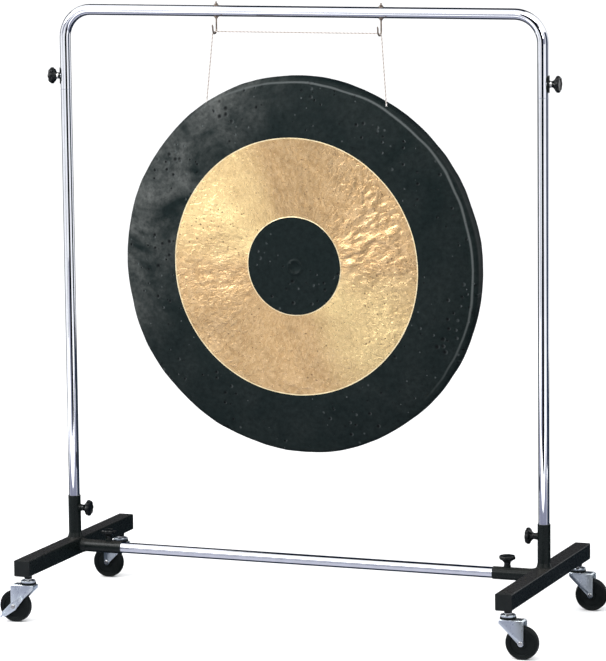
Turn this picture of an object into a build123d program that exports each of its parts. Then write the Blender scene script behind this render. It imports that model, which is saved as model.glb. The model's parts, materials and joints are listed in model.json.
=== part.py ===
"""Tam tam gong on a wheeled tubular stand.

Millimetres, +Z up, X along the crossbar, the gong's face towards -Y.
The origin is on the floor, at the middle of the stand.
"""

import os
from math import asin, atan2, cos, degrees, hypot, pi, radians, sin, tan

from build123d import *

# ---------------------------------------------------------------- driving dimensions
# Stand
upright_spacing = 1160.0
half_span = upright_spacing / 2
tube_radius = 12.7
tube_wall = 1.6
tube_bore = tube_radius - tube_wall
running_gap = 0.05
top_bar_height = 1396.0
corner_radius = 65.0
joint_height = 1211.0
spigot_below = 60.0
spigot_above = 118.0
spigot_wall = 1.6
spigot_chamfer = 1.0
seam_chamfer = 0.5

# Base
foot_bottom = 113.0
foot_size = 38.0
foot_wall = 2.0
foot_corner = 3.0
foot_length = 588.0
foot_top = foot_bottom + foot_size
foot_middle = foot_bottom + foot_size / 2
cap_thickness = 4.0
cap_plug_length = 16.0
cap_plug_wall = 2.0
cap_edge = 0.6
socket_radius = 14.7
socket_bore = tube_radius + running_gap
socket_height = 100.0
crossbar_socket_end = 460.0
weld_flare = 2.8
weld_height = 11.0
end_gap = 1.0

# Clamps: a knob on a screw, through a nut welded to the tube
upper_clamp_height = 1242.0
base_clamp_height = 222.0
crossbar_clamp_x = 493.0
screw_radius = 3.95
screw_hole = screw_radius + running_gap
screw_clear_hole = 4.3
boss_radius = 8.0
boss_length = 4.0
tip_gap = 0.15
knob_gap = 0.4
knob_neck_length = 5.0
knob_cone_length = 9.0
knob_head_length = 9.0
knob_neck_radius = 7.5
knob_radius = 19.0
knob_lobes = 6
knob_bore_depth = 14.0
knob_flute_radius = 7.4
knob_flute_centre = knob_radius + 3.4
knob_edge_round = 1.4
knob_under_radius = 14.4
knob_under_depth = 1.5
knob_dish_radius = 11.0
knob_dish_depth = 2.0
knob_dish_taper = 20.0
screw_end_chamfer = 0.6

# Hooks and cord
hook_x = 200.0
hook_wire = 2.0
hook_bend = 11.0
hook_bottom = 1345.0
hook_top = 1417.5
hook_tip_rise = 10.0
hook_tip_flare = 3.0
nut_radius = 4.0
nut_height = 3.2
washer_radius = 6.0
washer_reach = 1.2
cord_radius = 1.5
cord_hook_gap = 3.0
knot_radius = 4.5
knot_depth = 10.0

# Gong, measured in its own plane: radius from the axis, depth back from the face's edge
gong_height = 817.0
gong_offset = -3.7
gong_radius = 432.0
gong_thickness = 2.8
gong_dome = 23.0
disc_radius = 111.0
ring_radius = 297.0
ring_dome = 21.0
edge_radius = 419.0
edge_dome = 5.0
shoulder_depth = 11.0
rim_depth = 60.0
rim_end_radius = 425.0
hole_angle = 30.6
hole_radius = 4.0
hole_centre_radius = 430.0
hole_depth = 8.0
gong_tilt = 2.2

# Casters
stem_y = 263.0
trail = 32.5
wheel_radius = 37.5
wheel_half_width = 10.0
stem_socket_radius = 9.0
stem_socket_height = 10.0
stem_radius = 5.0
stem_end_room = 8.0
collar_radius = 9.0
collar_height = 4.0
kingpin_radius = 4.5
kingpin_head_radius = 7.0
kingpin_head_height = 3.0
kingpin_head_taper = 20.0
race_radius = 16.8
race_top = 99.0
race_plate = 3.0
race_cone = 8.0
race_skirt = 4.0
race_skirt_wall = 1.8
ball_radius = 2.3
ball_pitch_radius = 11.6
ball_count = 12
ball_gap = 0.1
fork_top = 89.0
fork_plate = 3.0
fork_head_radius = 17.5
fork_seat_radius = 14.2
fork_seat_taper = 20.0
fork_half_gap = 12.0
fork_leg = 2.5
fork_front = 17.5
fork_rear = 39.0
fork_corner = 4.0
fork_edge_round = 2.0
fork_leg_front_height = 80.0
fork_eye_radius = 6.5
axle_radius = 3.0
axle_head_radius = 5.0
axle_head_height = 2.2
axle_head_round = 1.2
axle_end_chamfer = 0.5
axle_end_show = 1.0
bush_radius = 5.0
hub_half_width = 11.4
hub_radius = 11.0
axle_nut_radius = 5.8
axle_nut_height = 4.5
tread_round = 5.0
web_outer = 26.0
web_recess = 2.0
groove_radius = 30.0
groove_width = 1.0
groove_depth = 0.6
lever_thickness = 2.0
lever_gap = 0.2
lever_hub_radius = 9.0
lever_pedal = (-26.8, -21.5)
lever_low_shoulder = (5.0, -8.0)
lever_high_shoulder = (-8.0, 6.0)
lever_tail_low = (25.0, 17.0)
lever_tail_high = (18.0, 25.0)
pedal_width = 12.4
pedal_reach = 9.0
pedal_inset = 0.96

os.makedirs("parts", exist_ok=True)


def save(part, name):
    """Names a finished piece and writes it to its own file."""
    part.label = name
    export_step(part, f"parts/{name}.step")


# ---------------------------------------------------------------- base
def make_foot_beam(side):
    """A square steel tube, open at both ends, with holes for the caster stems."""
    end_plane = Plane(
        origin=(side * half_span, -foot_length / 2, foot_middle), x_dir=(1, 0, 0), z_dir=(0, -1, 0)
    )
    with BuildPart() as beam:
        with BuildSketch(end_plane):
            RectangleRounded(foot_size, foot_size, foot_corner)
            inner = foot_size - 2 * foot_wall
            RectangleRounded(inner, inner, foot_corner - foot_wall, mode=Mode.SUBTRACT)
        extrude(amount=-foot_length)
        with BuildSketch(Plane.XY.offset(foot_bottom)):
            with Locations((side * half_span, -stem_y), (side * half_span, stem_y)):
                Circle(stem_radius + running_gap)
        extrude(amount=foot_wall, mode=Mode.SUBTRACT)
    return beam.part


def make_end_caps():
    """Four moulded caps, each with a plug that fits the beam's inside."""
    inner = foot_size - 2 * foot_wall
    with BuildPart() as caps:
        for side in (-1, 1):
            for end in (-1, 1):
                face = Plane(
                    origin=(side * half_span, end * foot_length / 2, foot_middle),
                    x_dir=(1, 0, 0),
                    z_dir=(0, end, 0),
                )
                with BuildSketch(face):
                    RectangleRounded(foot_size, foot_size, foot_corner)
                extrude(amount=cap_thickness)
                with BuildSketch(face):
                    RectangleRounded(inner, inner, foot_corner - foot_wall)
                    core = inner - 2 * cap_plug_wall
                    RectangleRounded(core, core, cap_edge, mode=Mode.SUBTRACT)
                extrude(amount=-cap_plug_length)
        outer_edges = caps.edges().filter_by(GeomType.LINE).filter_by(
            lambda edge: abs(abs(edge.center().Y) - foot_length / 2 - cap_thickness) < 0.01
        )
        chamfer(outer_edges, cap_edge)
    return caps.part


def make_socket(base_plane, length, hole_distance, hole_dir):
    """A tube welded on end to a foot, with a clear hole for its clamp screw."""
    hole_plane = Plane(
        origin=base_plane.origin + base_plane.z_dir * hole_distance, z_dir=hole_dir
    )
    with BuildPart() as socket:
        with BuildSketch(base_plane):
            Circle(socket_radius)
        extrude(amount=length)
        with BuildSketch(base_plane):
            Circle(socket_radius + weld_flare)
        extrude(amount=weld_height, taper=degrees(atan2(weld_flare, weld_height)))
        with BuildSketch(base_plane):
            Circle(socket_bore)
        extrude(amount=length, mode=Mode.SUBTRACT)
        with BuildSketch(hole_plane):
            Circle(screw_clear_hole)
        extrude(amount=socket_radius + 1, mode=Mode.SUBTRACT)
    return socket.part


def make_crossbar():
    """The tube that joins the two feet."""
    reach = half_span - foot_size / 2 - end_gap
    with BuildPart() as bar:
        with BuildSketch(Plane.YZ.offset(-reach)):
            with Locations((0, foot_middle)):
                Circle(tube_radius)
                Circle(tube_bore, mode=Mode.SUBTRACT)
        extrude(amount=2 * reach)
    return bar.part


# ---------------------------------------------------------------- uprights and upper frame
def seam_edges(tube):
    """The outer edges where the lower and the upper tubes meet."""
    return tube.edges().filter_by(GeomType.CIRCLE).filter_by(
        lambda edge: abs(edge.center().Z - joint_height) < 0.01
        and abs(edge.radius - tube_radius) < 0.01
    )


def make_lower_upright(side):
    """Stands on the foot's top face, inside the socket, and reaches up to the joint."""
    with BuildPart() as tube:
        with BuildSketch(Plane.XY.offset(foot_top)):
            with Locations((side * half_span, 0)):
                Circle(tube_radius)
                Circle(tube_bore, mode=Mode.SUBTRACT)
        extrude(amount=joint_height - foot_top)
        chamfer(seam_edges(tube), seam_chamfer)
    return tube.part


def make_spigot(side):
    """A sleeve pressed into the lower tube; the upper frame slides over its top end."""
    with BuildPart() as sleeve:
        with BuildSketch(Plane.XY.offset(joint_height - spigot_below)):
            with Locations((side * half_span, 0)):
                Circle(tube_bore)
        extrude(amount=spigot_below)
        with BuildSketch(Plane.XY.offset(joint_height)):
            with Locations((side * half_span, 0)):
                Circle(tube_bore - running_gap)
        extrude(amount=spigot_above)
        chamfer(sleeve.faces().sort_by(Axis.Z)[-1].edges(), spigot_chamfer)
        with BuildSketch(Plane.XY.offset(joint_height - spigot_below)):
            with Locations((side * half_span, 0)):
                Circle(tube_bore - spigot_wall)
        extrude(amount=spigot_below + spigot_above, mode=Mode.SUBTRACT)
    return sleeve.part


def make_upper_frame():
    """One tube bent to an inverted U, drilled for the hooks and the clamp screws."""
    with BuildPart() as frame:
        with BuildLine():
            FilletPolyline(
                (-half_span, 0, joint_height),
                (-half_span, 0, top_bar_height),
                (half_span, 0, top_bar_height),
                (half_span, 0, joint_height),
                radius=corner_radius,
            )
        with BuildSketch(Plane.XY.offset(joint_height)):
            with Locations((-half_span, 0)):
                Circle(tube_radius)
                Circle(tube_bore, mode=Mode.SUBTRACT)
        sweep()
        chamfer(seam_edges(frame), seam_chamfer)
        with BuildSketch(Plane.XY.offset(top_bar_height - tube_radius - 1)):
            with Locations((-hook_x, 0), (hook_x, 0)):
                Circle(hook_wire + running_gap)
        extrude(amount=2 * tube_radius + 2, mode=Mode.SUBTRACT)
        for side in (-1, 1):
            leg = Plane(origin=(side * half_span, 0, upper_clamp_height), z_dir=(side, 0, 0))
            with BuildSketch(leg):
                Circle(screw_clear_hole)
            extrude(amount=tube_radius + 1, mode=Mode.SUBTRACT)
    return frame.part


# ---------------------------------------------------------------- clamps
# Each clamp's plane lies on its tube's axis, with its normal out along the screw.
upper_clamps = {
    "left_upper": Plane(origin=(-half_span, 0, upper_clamp_height), z_dir=(-1, 0, 0)),
    "right_upper": Plane(origin=(half_span, 0, upper_clamp_height), z_dir=(1, 0, 0)),
}
base_clamps = {
    "left_base": Plane(origin=(-half_span, 0, base_clamp_height), z_dir=(1, 0, 0)),
    "right_base": Plane(origin=(half_span, 0, base_clamp_height), z_dir=(-1, 0, 0)),
    "left_crossbar": Plane(origin=(-crossbar_clamp_x, 0, foot_middle), z_dir=(0, 0, 1)),
    "right_crossbar": Plane(origin=(crossbar_clamp_x, 0, foot_middle), z_dir=(0, 0, 1)),
}


def make_bosses(clamps, radius):
    """Round nuts welded over the screw holes, hollowed to sit on the tube."""
    with BuildPart() as bosses:
        for name, plane in clamps.items():
            with BuildSketch(plane):
                Circle(boss_radius)
            extrude(amount=radius + boss_length)
            along = (1, 0, 0) if "crossbar" in name else (0, 0, 1)
            with BuildSketch(Plane(origin=plane.origin, z_dir=along)):
                Circle(radius)
            extrude(amount=2 * boss_radius, both=True, mode=Mode.SUBTRACT)
            with BuildSketch(plane):
                Circle(screw_hole)
            extrude(amount=radius + boss_length, mode=Mode.SUBTRACT)
    return bosses.part


def make_clamp_screw(plane, seat, radius):
    """The steel stud, from its tip at the inner tube to its end inside the knob."""
    start = seat + tip_gap
    end = radius + boss_length + knob_gap + knob_bore_depth
    with BuildPart() as screw:
        with BuildSketch(plane.offset(start)):
            Circle(screw_radius)
        extrude(amount=end - start)
        chamfer(screw.edges().filter_by(GeomType.CIRCLE), screw_end_chamfer)
    return screw.part


def make_knob(plane, radius):
    """A moulded star knob: round neck, cone and lobed head with a dished top."""
    neck = radius + boss_length + knob_gap
    cone = neck + knob_neck_length
    head = cone + knob_cone_length
    top = head + knob_head_length
    with BuildPart() as knob:
        with BuildSketch(plane.offset(head)):
            Circle(knob_radius)
            with PolarLocations(knob_flute_centre, knob_lobes):
                Circle(knob_flute_radius, mode=Mode.SUBTRACT)
        extrude(amount=knob_head_length)
        fillet(knob.edges(), knob_edge_round)
        with BuildSketch(plane.offset(neck)):
            Circle(knob_neck_radius)
        extrude(amount=knob_neck_length + 1)
        with BuildSketch(plane.offset(cone)):
            Circle(knob_neck_radius)
        with BuildSketch(plane.offset(head + knob_under_depth)):
            Circle(knob_under_radius)
        loft()
        with BuildSketch(plane.offset(top)):
            Circle(knob_dish_radius)
        extrude(amount=-knob_dish_depth, taper=knob_dish_taper, mode=Mode.SUBTRACT)
        with BuildSketch(plane.offset(neck)):
            Circle(screw_hole)
        extrude(amount=knob_bore_depth + 0.3, mode=Mode.SUBTRACT)
    return knob.part


# ---------------------------------------------------------------- hooks, nuts and washers
def make_hook(side):
    """A wire hook: threaded shank through the top bar, bend below, tip to the front."""
    shank_end = hook_bottom + hook_bend
    x = side * hook_x
    with BuildPart() as hook:
        with BuildLine():
            shank = Line((x, 0, hook_top), (x, 0, shank_end))
            bend = ThreePointArc(
                shank @ 1, (x, -hook_bend, hook_bottom), (x, -2 * hook_bend, shank_end)
            )
            Spline(
                bend @ 1,
                (x, -2 * hook_bend - hook_tip_flare, shank_end + hook_tip_rise),
                tangents=(bend % 1, Vector(0, -0.5, 1)),
            )
        with BuildSketch(Plane(origin=(x, 0, hook_top), z_dir=(0, 0, -1))):
            Circle(hook_wire)
        sweep()
    return hook.part


def make_hook_nuts():
    """A nut above and a nut below the bar on each hook."""
    seat = tube_radius + washer_reach
    with BuildPart() as nuts:
        for start in (top_bar_height + seat, top_bar_height - seat - nut_height):
            with BuildSketch(Plane.XY.offset(start)):
                with Locations((-hook_x, 0), (hook_x, 0)):
                    RegularPolygon(nut_radius, 6)
                    Circle(hook_wire + running_gap, mode=Mode.SUBTRACT)
            extrude(amount=nut_height)
    return nuts.part


def make_saddle_washers():
    """Washers hollowed to sit on the round bar, flat where the nut bears."""
    with BuildPart() as washers:
        for direction in (-1, 1):
            with BuildSketch(Plane.XY.offset(top_bar_height)):
                with Locations((-hook_x, 0), (hook_x, 0)):
                    Circle(washer_radius)
                    Circle(hook_wire + running_gap, mode=Mode.SUBTRACT)
            extrude(amount=direction * (tube_radius + washer_reach))
        with BuildSketch(Plane.YZ.offset(-hook_x - 20)):
            with Locations((0, top_bar_height)):
                Circle(tube_radius)
        extrude(amount=2 * hook_x + 40, mode=Mode.SUBTRACT)
    return washers.part


# ---------------------------------------------------------------- gong
# The two rim holes lie on a line along X, below the hooks' bends, and the gong turns about that line.
# At rest its front leans down by the tilt, which puts its centre of mass under the holes. The cord
# has slid on the hooks, which leaves the gong a little to the left.
tilt = radians(gong_tilt)
hole_side = hole_centre_radius * sin(radians(hole_angle))
hole_rise = hole_centre_radius * cos(radians(hole_angle))
gong_back = Vector(0, cos(tilt), sin(tilt))
gong_up = Vector(0, -sin(tilt), cos(tilt))
hole_line = Vector(gong_offset, -hook_bend, gong_height + hole_rise)
gong_centre = hole_line - gong_up * hole_rise - gong_back * hole_depth


def make_gong():
    """One hammered dish: flat centre, sloping face, soft edge and a rim turned back."""
    section = Plane(origin=gong_centre, x_dir=(1, 0, 0), z_dir=Vector(1, 0, 0).cross(gong_back))
    with BuildPart() as dish:
        with BuildSketch(section):
            with BuildLine():
                centre = Line((0, -gong_dome), (disc_radius, -gong_dome))
                ring = TangentArc(centre @ 1, (ring_radius, -ring_dome), tangent=centre % 1)
                border = TangentArc(ring @ 1, (edge_radius, -edge_dome), tangent=ring % 1)
                shoulder = TangentArc(border @ 1, (gong_radius, shoulder_depth), tangent=border % 1)
                TangentArc(shoulder @ 1, (rim_end_radius, rim_depth), tangent=shoulder % 1)
                offset(amount=gong_thickness, side=Side.LEFT)
            make_face()
        revolve(axis=Axis(gong_centre, gong_back))
        for side in (-1, 1):
            outward = gong_up * hole_rise + Vector(side * hole_side, 0, 0)
            hole_centre = gong_centre + outward + gong_back * hole_depth
            with BuildSketch(Plane(origin=hole_centre, z_dir=outward)):
                Circle(hole_radius)
            extrude(amount=10, both=True, mode=Mode.SUBTRACT)
    return dish.part


# ---------------------------------------------------------------- cord
def cord_route():
    """From a knot inside one rim hole, over both hooks, to a knot inside the other."""
    bend = hook_wire + cord_hook_gap + cord_radius
    top = hook_bottom + bend
    up = hook_bottom - hole_line.Z
    points = []
    for side in (-1, 1):
        hole_x = side * hole_line.X + hole_side
        away = hole_x - hook_x
        lean = atan2(away, up) - asin(bend / hypot(away, up))
        corner_x = hole_x - (top - hole_line.Z) * tan(lean)
        knot_x = hole_x + knot_depth * sin(lean)
        knot_z = hole_line.Z - knot_depth * cos(lean)
        points.append((side * knot_x, hole_line.Y, knot_z))
        points.append((side * corner_x, hole_line.Y, top))
    points = [points[0], points[1], points[3], points[2]]
    return points, bend


def make_cord(points, bend):
    """The cord: straight runs, with an arc round each hook."""
    with BuildPart() as cord:
        with BuildLine():
            route = FilletPolyline(*points, radius=bend)
        with BuildSketch(Plane(origin=route @ 0, z_dir=route % 0)):
            Circle(cord_radius)
        sweep()
    print("cord length", route.length, "bend radius", bend)
    print("cord volume share", cord.part.volume / (pi * cord_radius**2 * route.length))
    return cord.part


def make_knots(points):
    """A stopper knot at each end of the cord, inside the rim."""
    with BuildPart() as knots:
        with Locations(points[0], points[-1]):
            Sphere(knot_radius)
    return knots.part


# ---------------------------------------------------------------- casters
# Each caster's plane is level, on its swivel axis, with its x out to the wheel.
caster_planes = {
    "front_left": Plane(origin=(-half_span, -stem_y, 0), x_dir=(-1, 0, 0)),
    "back_left": Plane(origin=(-half_span, stem_y, 0), x_dir=(-1, 0, 0)),
    "front_right": Plane(origin=(half_span, -stem_y, 0), x_dir=(1, 0, 0)),
    "back_right": Plane(origin=(half_span, stem_y, 0), x_dir=(1, 0, 0)),
}


def wheel_plane(caster):
    """Upright plane through the wheel's middle, normal along its axle, x out to the wheel."""
    return Plane(origin=caster.origin, x_dir=caster.x_dir, z_dir=caster.y_dir * -1)


def make_stem_sockets():
    """Round nuts welded under the feet for the caster stems."""
    with BuildPart() as sockets:
        for caster in caster_planes.values():
            with BuildSketch(caster.offset(foot_bottom - stem_socket_height)):
                Circle(stem_socket_radius)
                Circle(stem_radius + running_gap, mode=Mode.SUBTRACT)
            extrude(amount=stem_socket_height)
    return sockets.part


def make_stems():
    """Threaded stem, hexagon collar and kingpin of each caster, with its riveted head."""
    collar_bottom = foot_bottom - stem_socket_height - collar_height
    head_top = fork_top - fork_plate - end_gap
    with BuildPart() as stems:
        for caster in caster_planes.values():
            with BuildSketch(caster.offset(collar_bottom)):
                Circle(stem_radius)
            extrude(amount=foot_top - foot_wall - stem_end_room - collar_bottom)
            with BuildSketch(caster.offset(collar_bottom)):
                RegularPolygon(collar_radius, 6)
            extrude(amount=collar_height)
            with BuildSketch(caster.offset(head_top)):
                Circle(kingpin_radius)
            extrude(amount=collar_bottom - head_top)
            with BuildSketch(caster.offset(head_top)):
                Circle(kingpin_head_radius)
            extrude(amount=-kingpin_head_height, taper=kingpin_head_taper)
    return stems.part


def make_top_races():
    """Dished plates fixed under the stems' collars, over the bearing balls."""
    with BuildPart() as races:
        for caster in caster_planes.values():
            with BuildSketch(caster.offset(race_top)):
                Circle(race_radius)
            extrude(amount=-race_plate, taper=-race_cone)
            with BuildSketch(caster.offset(race_top - race_plate)):
                Circle(race_radius)
                Circle(race_radius - race_skirt_wall, mode=Mode.SUBTRACT)
            extrude(amount=-race_skirt)
            with BuildSketch(caster.offset(race_top)):
                Circle(kingpin_radius)
            extrude(amount=-race_plate, mode=Mode.SUBTRACT)
    return races.part


def make_balls():
    """A ring of steel balls between each race and its fork."""
    with BuildPart() as balls:
        for caster in caster_planes.values():
            height = race_top - race_plate - ball_gap - ball_radius
            with Locations(caster.offset(height)):
                with PolarLocations(ball_pitch_radius, ball_count):
                    Sphere(ball_radius)
    return balls.part


def make_fork(caster):
    """A pressed fork: round head, raised seat for the balls and two tapering legs."""
    side = wheel_plane(caster)
    outer = fork_half_gap + fork_leg
    under = fork_top - fork_plate
    with BuildPart() as fork:
        with BuildSketch(side):
            with BuildLine():
                Polyline(
                    (trail + fork_eye_radius, wheel_radius),
                    (fork_rear, fork_top - fork_corner),
                    (fork_rear - fork_corner, fork_top),
                    (-fork_front, fork_top),
                    (-fork_front, fork_leg_front_height),
                    (trail - fork_eye_radius, wheel_radius),
                    close=True,
                )
            make_face()
            with Locations((trail, wheel_radius)):
                Circle(fork_eye_radius)
        extrude(amount=outer, both=True)
        with BuildSketch(side):
            with Locations((trail, under / 2)):
                Rectangle(4 * wheel_radius, under)
        extrude(amount=fork_half_gap, both=True, mode=Mode.SUBTRACT)
        top_edges = fork.edges().filter_by(Axis(caster.origin, caster.x_dir)).group_by(Axis.Z)[-1]
        fillet(top_edges, fork_edge_round)
        with BuildSketch(caster.offset(under)):
            Circle(fork_head_radius)
        extrude(amount=fork_plate)
        with BuildSketch(caster.offset(fork_top)):
            Circle(fork_seat_radius)
        seat_height = race_top - race_plate - 2 * (ball_radius + ball_gap) - fork_top
        extrude(amount=seat_height, taper=fork_seat_taper)
        with BuildSketch(caster.offset(under)):
            Circle(kingpin_radius + running_gap)
        extrude(amount=race_top - under, mode=Mode.SUBTRACT)
        with BuildSketch(axle_plane(caster)):
            Circle(axle_radius + running_gap)
        extrude(amount=outer, both=True, mode=Mode.SUBTRACT)
    return fork.part


def axle_plane(caster):
    """Centred on the caster's axle, normal to the stand's front, x along the crossbar."""
    centre = caster.origin + caster.x_dir * trail + Vector(0, 0, wheel_radius)
    return Plane(origin=centre, x_dir=(1, 0, 0), z_dir=(0, -1, 0))


def make_axle(plane, head_gap):
    """A bolt through the fork, with its round head at the front."""
    head_seat = fork_half_gap + fork_leg + head_gap
    end = fork_half_gap + fork_leg + axle_nut_height + axle_end_show
    with BuildPart() as axle:
        with BuildSketch(plane.offset(-end)):
            Circle(axle_radius)
        extrude(amount=end + head_seat)
        with BuildSketch(plane.offset(head_seat)):
            Circle(axle_head_radius)
        extrude(amount=axle_head_height)
        fillet(axle.faces().sort_by(Axis.Y)[0].edges(), axle_head_round)
        chamfer(axle.faces().sort_by(Axis.Y)[-1].edges(), axle_end_chamfer)
    return axle.part


def make_axle_nut(plane):
    """The nut on the back end of an axle."""
    with BuildPart() as nut:
        with BuildSketch(plane.offset(-fork_half_gap - fork_leg)):
            RegularPolygon(axle_nut_radius, 6)
            Circle(axle_radius + running_gap, mode=Mode.SUBTRACT)
        extrude(amount=-axle_nut_height)
    return nut.part


def make_bush(plane):
    """The steel sleeve that the wheel turns on, held between the fork's legs."""
    with BuildPart() as bush:
        with BuildSketch(plane):
            Circle(bush_radius)
            Circle(axle_radius + running_gap, mode=Mode.SUBTRACT)
        extrude(amount=fork_half_gap, both=True)
    return bush.part


def make_wheel(plane):
    """A moulded wheel: crowned tread, recessed web, two face grooves and a hub."""
    with BuildPart() as wheel:
        with BuildSketch(plane):
            Circle(wheel_radius)
        extrude(amount=wheel_half_width, both=True)
        fillet(wheel.edges(), tread_round)
        for direction in (-1, 1):
            with BuildSketch(plane.offset(direction * (wheel_half_width - web_recess))):
                Circle(web_outer)
            extrude(amount=direction * web_recess, mode=Mode.SUBTRACT)
            with BuildSketch(plane.offset(direction * (wheel_half_width - groove_depth))):
                Circle(groove_radius + groove_width)
                Circle(groove_radius, mode=Mode.SUBTRACT)
            extrude(amount=direction * groove_depth, mode=Mode.SUBTRACT)
        with BuildSketch(plane):
            Circle(hub_radius)
        extrude(amount=hub_half_width, both=True)
        with BuildSketch(plane):
            Circle(bush_radius + running_gap)
        extrude(amount=hub_half_width, both=True, mode=Mode.SUBTRACT)
    return wheel.part


def make_brake_lever(plane):
    """A flat lever on the axle, outside the fork's front leg, with a bent pedal."""
    start = fork_half_gap + fork_leg + lever_gap
    pedal_centre = Vector(lever_pedal)
    square_to_arm = pedal_centre.rotate(Axis.Z, 90).normalized() * (pedal_width / 2)
    across = Vector(1, 0).get_signed_angle(square_to_arm)
    with BuildPart() as lever:
        with BuildSketch(plane.offset(start)):
            with BuildLine():
                Polyline(
                    pedal_centre - square_to_arm,
                    pedal_centre + square_to_arm,
                    lever_low_shoulder,
                    lever_tail_low,
                    lever_tail_high,
                    lever_high_shoulder,
                    close=True,
                )
            make_face()
            Circle(lever_hub_radius)
            Circle(axle_radius + running_gap, mode=Mode.SUBTRACT)
        extrude(amount=lever_thickness)
        with BuildSketch(plane.offset(start)):
            with Locations(pedal_centre * pedal_inset):
                Rectangle(pedal_width, lever_thickness, rotation=across)
        extrude(amount=lever_thickness + pedal_reach)
    return lever.part


# ---------------------------------------------------------------- writing the pieces
for side, word in ((-1, "left"), (1, "right")):
    foot_face = side * (half_span - foot_size / 2)
    save(make_foot_beam(side), f"{word}_foot_beam")
    upright_base = Plane(origin=(side * half_span, 0, foot_top))
    rise = base_clamp_height - foot_top
    save(make_socket(upright_base, socket_height, rise, (-side, 0, 0)), f"{word}_upright_socket")
    crossbar_base = Plane(origin=(foot_face, 0, foot_middle), z_dir=(-side, 0, 0))
    length = abs(foot_face) - crossbar_socket_end
    reach = abs(foot_face) - crossbar_clamp_x
    save(make_socket(crossbar_base, length, reach, (0, 0, 1)), f"{word}_crossbar_socket")
    save(make_lower_upright(side), f"{word}_lower_upright")
    save(make_spigot(side), f"{word}_spigot")
    save(make_hook(side), f"{word}_gong_hook")

save(make_end_caps(), "foot_end_caps")
save(make_crossbar(), "crossbar")
save(make_upper_frame(), "upper_frame_tube")
save(make_bosses(base_clamps, socket_radius), "base_clamp_nuts")
save(make_bosses(upper_clamps, tube_radius), "upper_clamp_nuts")
for name, plane in base_clamps.items():
    save(make_clamp_screw(plane, tube_radius, socket_radius), f"{name}_screw")
    save(make_knob(plane, socket_radius), f"{name}_knob")
for name, plane in upper_clamps.items():
    save(make_clamp_screw(plane, tube_bore - running_gap, tube_radius), f"{name}_screw")
    save(make_knob(plane, tube_radius), f"{name}_knob")
save(make_hook_nuts(), "hook_nuts")
save(make_saddle_washers(), "hook_washers")

save(make_gong(), "gong")
cord_points, cord_bend = cord_route()
save(make_cord(cord_points, cord_bend), "suspension_cord")
save(make_knots(cord_points), "cord_knots")

save(make_stem_sockets(), "caster_stem_sockets")
save(make_stems(), "caster_stems")
save(make_top_races(), "caster_top_races")
save(make_balls(), "caster_bearing_balls")
for name, caster in caster_planes.items():
    braked = name == "front_left"
    axle = axle_plane(caster)
    save(make_fork(caster), f"{name}_fork")
    save(make_axle(axle, lever_thickness + 2 * lever_gap if braked else 0), f"{name}_axle")
    save(make_axle_nut(axle), f"{name}_axle_nut")
    save(make_bush(axle), f"{name}_bush")
    save(make_wheel(axle), f"{name}_wheel")
    if braked:
        save(make_brake_lever(axle), "brake_lever")
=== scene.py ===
"""Looks for the tam tam gong on its wheeled stand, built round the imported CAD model.

Everything is in metres in the CAD frame: +Z up, X along the crossbar, the gong's face towards -Y.
"""

import json
import math

import bmesh
import bpy
import numpy as np
from mathutils import Matrix, Vector


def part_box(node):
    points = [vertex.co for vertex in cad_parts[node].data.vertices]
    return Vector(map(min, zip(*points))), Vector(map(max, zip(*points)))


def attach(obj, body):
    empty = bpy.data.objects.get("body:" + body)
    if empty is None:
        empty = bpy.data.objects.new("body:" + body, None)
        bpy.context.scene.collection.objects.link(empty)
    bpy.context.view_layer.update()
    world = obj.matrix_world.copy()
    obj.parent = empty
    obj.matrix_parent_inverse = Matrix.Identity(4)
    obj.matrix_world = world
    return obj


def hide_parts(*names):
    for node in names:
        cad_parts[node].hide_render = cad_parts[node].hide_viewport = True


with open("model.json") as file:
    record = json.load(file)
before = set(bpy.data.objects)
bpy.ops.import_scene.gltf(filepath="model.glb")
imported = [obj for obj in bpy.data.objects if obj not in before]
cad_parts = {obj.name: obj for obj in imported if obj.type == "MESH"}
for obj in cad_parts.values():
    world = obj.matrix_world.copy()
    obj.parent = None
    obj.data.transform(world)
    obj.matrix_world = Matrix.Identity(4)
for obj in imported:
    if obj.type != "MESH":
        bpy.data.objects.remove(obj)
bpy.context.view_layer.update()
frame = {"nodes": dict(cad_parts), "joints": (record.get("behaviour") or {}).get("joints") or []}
nodes = frame["nodes"]
joints = {joint["name"]: joint for joint in frame["joints"]}
MM = 0.001


# -------------------- helpers
def linked(name, data):
    """A new object in the scene, from its data."""
    made = bpy.data.objects.new(name, data)
    bpy.context.scene.collection.objects.link(made)
    return made


def add_piece(name, mesh, body, materials, replaced=()):
    """Links a mesh as a piece that rides on a body, with its finish and the CAD nodes it stands for."""
    piece = linked(name, mesh)
    for material in materials:
        mesh.materials.append(material)
    mesh.shade_smooth()
    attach(piece, body)
    if replaced:
        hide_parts(*replaced)
    return piece


def mesh_of(name, points, faces):
    """A mesh from points in metres and faces."""
    mesh = bpy.data.meshes.new(name)
    mesh.from_pydata([tuple(p) for p in points], [], [tuple(f) for f in faces])
    mesh.update()
    return mesh


def turn_outwards(mesh):
    """Makes every face of a closed mesh look outwards."""
    work = bmesh.new()
    work.from_mesh(mesh)
    bmesh.ops.recalc_face_normals(work, faces=work.faces)
    work.to_mesh(mesh)
    work.free()


def full_turn(count):
    """Even angles once round."""
    return np.linspace(0, 2 * math.pi, count, endpoint=False)


def ring_points(centres, first, second, radius):
    """Rings round centres, in the planes of two normals, with a radius for each centre and side."""
    turn = full_turn(radius.shape[1])
    ring = first[:, None, :] * np.cos(turn)[None, :, None] + second[:, None, :] * np.sin(turn)[None, :, None]
    return (centres[:, None, :] + ring * radius[:, :, None]).reshape(-1, 3)


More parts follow.
